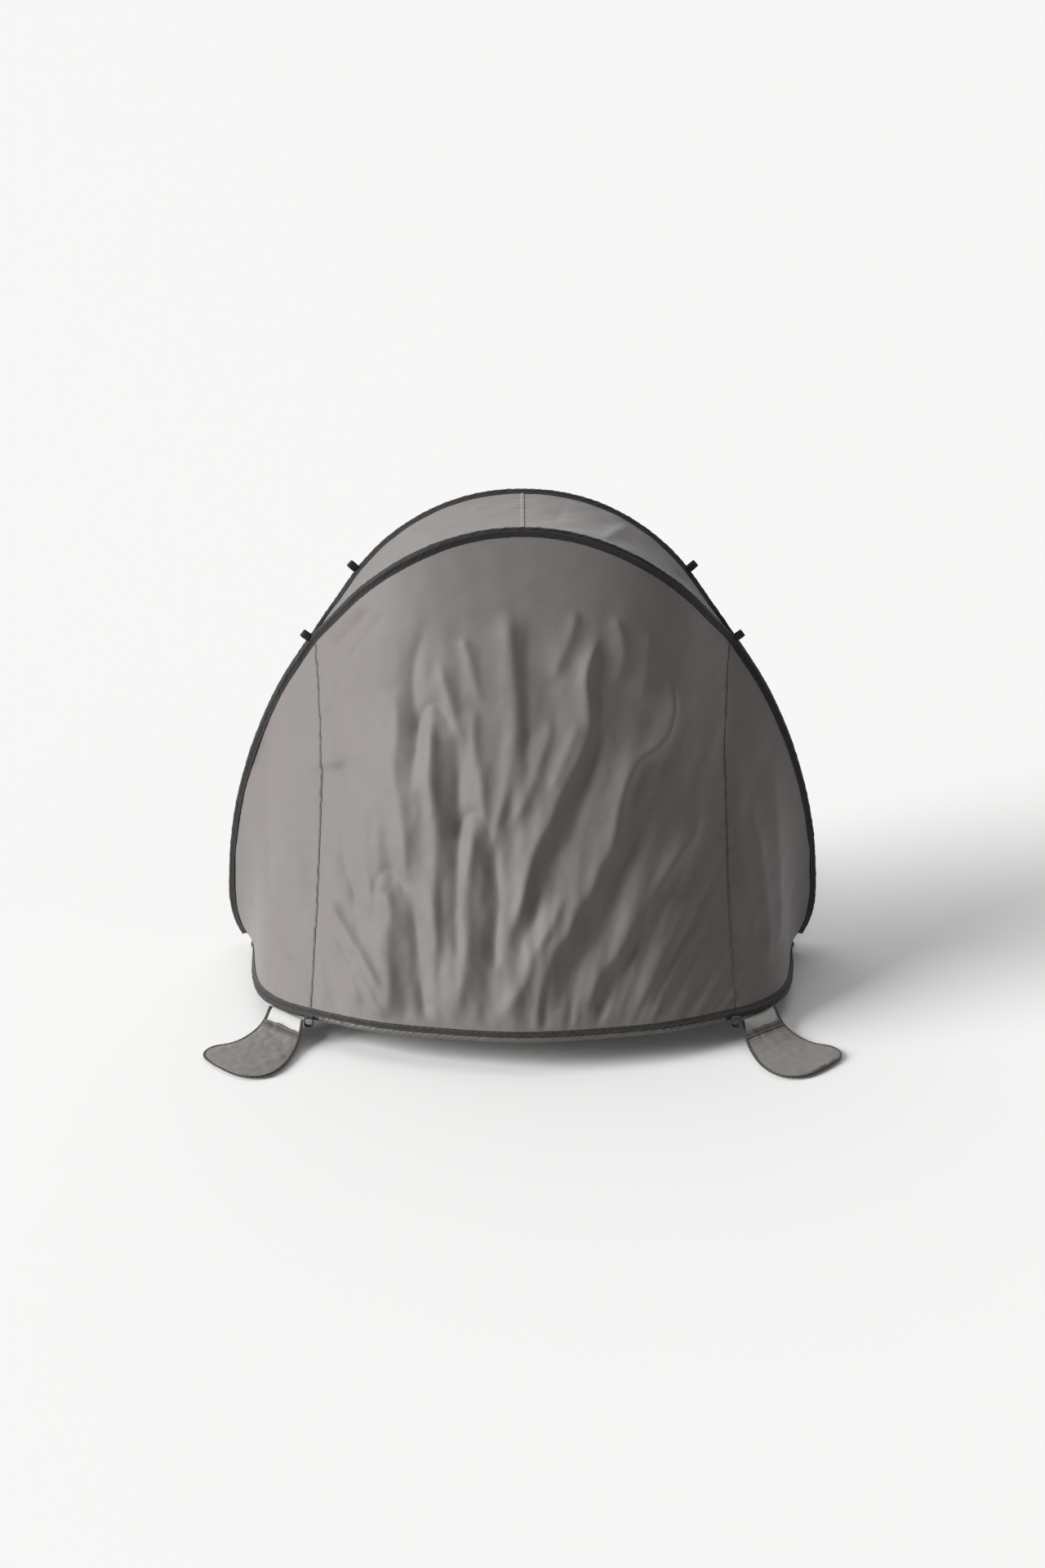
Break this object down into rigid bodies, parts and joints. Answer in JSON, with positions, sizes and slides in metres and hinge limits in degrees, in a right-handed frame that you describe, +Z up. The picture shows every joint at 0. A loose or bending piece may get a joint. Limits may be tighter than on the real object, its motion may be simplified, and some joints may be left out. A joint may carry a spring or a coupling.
{
  "type": "pop-up shelter",
  "caption": "Pop-up shelter with sprung hoop frame, leaning roof, closed three-gore back, open front, groundsheet, sand pockets and webbing tie loops.",
  "frame": {"origin": "middle of the groundsheet's underside, on the ground", "axes": "+Z up, +Y out of the open front, the closed back faces -Y, +X to the right seen from the back"},
  "size_m": [1.2, 1.2174, 0.9255],
  "materials": {
    "shelter_cloth": "fine plain-weave coated polyester, soft sheen",
    "edge_binding": "dark woven binding tape",
    "webbing": "black webbing",
    "coated_lining": "pale coated underside",
    "floor_cloth": "tight woven groundsheet",
    "spring_steel": "bright spring wire",
    "ferrule_metal": "crimped tube"
  },
  "bodies": {
    "floor": {"groundsheet": "floor_cloth", "rear_floor_wire": "spring_steel", "front_floor_wire": "spring_steel", "wire_ferrules": "ferrule_metal", "rear_floor_sleeve": "edge_binding", "front_floor_sleeve": "edge_binding", "side_tip_bindings": "edge_binding", "back_panel_left": "shelter_cloth", "back_panel_centre": "shelter_cloth", "back_panel_right": "shelter_cloth"},
    "arches": {"rear_arch_wire": "spring_steel", "front_arch_wire": "spring_steel", "rear_arch_sleeve": "edge_binding", "front_arch_sleeve": "edge_binding", "roof_panel_left": "shelter_cloth", "roof_panel_right": "shelter_cloth"},
    "crossing_loop_left": {"crossing_loop_left": "webbing"},
    "guy_loop_left": {"guy_loop_left": "webbing"},
    "rear_peg_loop_left": {"rear_peg_loop_left": "webbing"},
    "front_peg_loop_left": {"front_peg_loop_left": "webbing"},
    "sand_pocket_left": {"pocket_back_left": "coated_lining", "pocket_front_left": "shelter_cloth", "pocket_hem_left": "edge_binding", "pocket_binding_left": "edge_binding"},
    "crossing_loop_right": {"crossing_loop_right": "webbing"},
    "guy_loop_right": {"guy_loop_right": "webbing"},
    "rear_peg_loop_right": {"rear_peg_loop_right": "webbing"},
    "front_peg_loop_right": {"front_peg_loop_right": "webbing"},
    "sand_pocket_right": {"pocket_back_right": "coated_lining", "pocket_front_right": "shelter_cloth", "pocket_hem_right": "edge_binding", "pocket_binding_right": "edge_binding"}
  },
  "joints": [
    {"name": "arch_fold", "type": "hinge", "parent": "floor", "child": "arches", "pos_m": [0, 0, 0.014], "axis": [1, 0, 0], "range_deg": [0, 70], "stiffness_Nm_per_rad": 3, "springref_deg": -17.19, "deforming": ["back_panel_left", "back_panel_centre", "back_panel_right"]},
    {"name": "crossing_loop_left_swing", "type": "hinge", "parent": "arches", "child": "crossing_loop_left", "pos_m": [-0.41431, -0.01348, 0.65973], "axis": [-0.5754, 0.263, -0.7744], "range_deg": [-30, 30], "stiffness_Nm_per_rad": 0.002},
    {"name": "guy_loop_left_swing", "type": "hinge", "parent": "arches", "child": "guy_loop_left", "pos_m": [-0.32702, 0.096, 0.77008], "axis": [-0.5898, -0.459, -0.6645], "range_deg": [-30, 30], "stiffness_Nm_per_rad": 0.002},
    {"name": "rear_peg_loop_left_swing", "type": "hinge", "parent": "floor", "child": "rear_peg_loop_left", "pos_m": [-0.405, -0.4697, 0.053], "axis": [-1, 0, 0], "range_deg": [0, 70]},
    {"name": "front_peg_loop_left_swing", "type": "hinge", "parent": "floor", "child": "front_peg_loop_left", "pos_m": [-0.405, 0.4697, 0.053], "axis": [1, 0, 0], "range_deg": [0, 70]},
    {"name": "pocket_left_lift", "type": "hinge", "parent": "floor", "child": "sand_pocket_left", "pos_m": [-0.456, -0.4235, 0.037], "axis": [-0.7336, 0.6796, 0], "range_deg": [0, 92]},
    {"name": "crossing_loop_right_swing", "type": "hinge", "parent": "arches", "child": "crossing_loop_right", "pos_m": [0.41431, -0.01348, 0.65973], "axis": [-0.5754, -0.263, 0.7744], "range_deg": [-30, 30], "stiffness_Nm_per_rad": 0.002},
    {"name": "guy_loop_right_swing", "type": "hinge", "parent": "arches", "child": "guy_loop_right", "pos_m": [0.32702, 0.096, 0.77008], "axis": [-0.5898, 0.459, 0.6645], "range_deg": [-30, 30], "stiffness_Nm_per_rad": 0.002},
    {"name": "rear_peg_loop_right_swing", "type": "hinge", "parent": "floor", "child": "rear_peg_loop_right", "pos_m": [0.405, -0.4697, 0.053], "axis": [-1, 0, 0], "range_deg": [0, 70]},
    {"name": "front_peg_loop_right_swing", "type": "hinge", "parent": "floor", "child": "front_peg_loop_right", "pos_m": [0.405, 0.4697, 0.053], "axis": [1, 0, 0], "range_deg": [0, 70]},
    {"name": "pocket_right_lift", "type": "hinge", "parent": "floor", "child": "sand_pocket_right", "pos_m": [0.456, -0.4235, 0.037], "axis": [-0.7336, -0.6796, 0], "range_deg": [0, 92]}
  ]
}
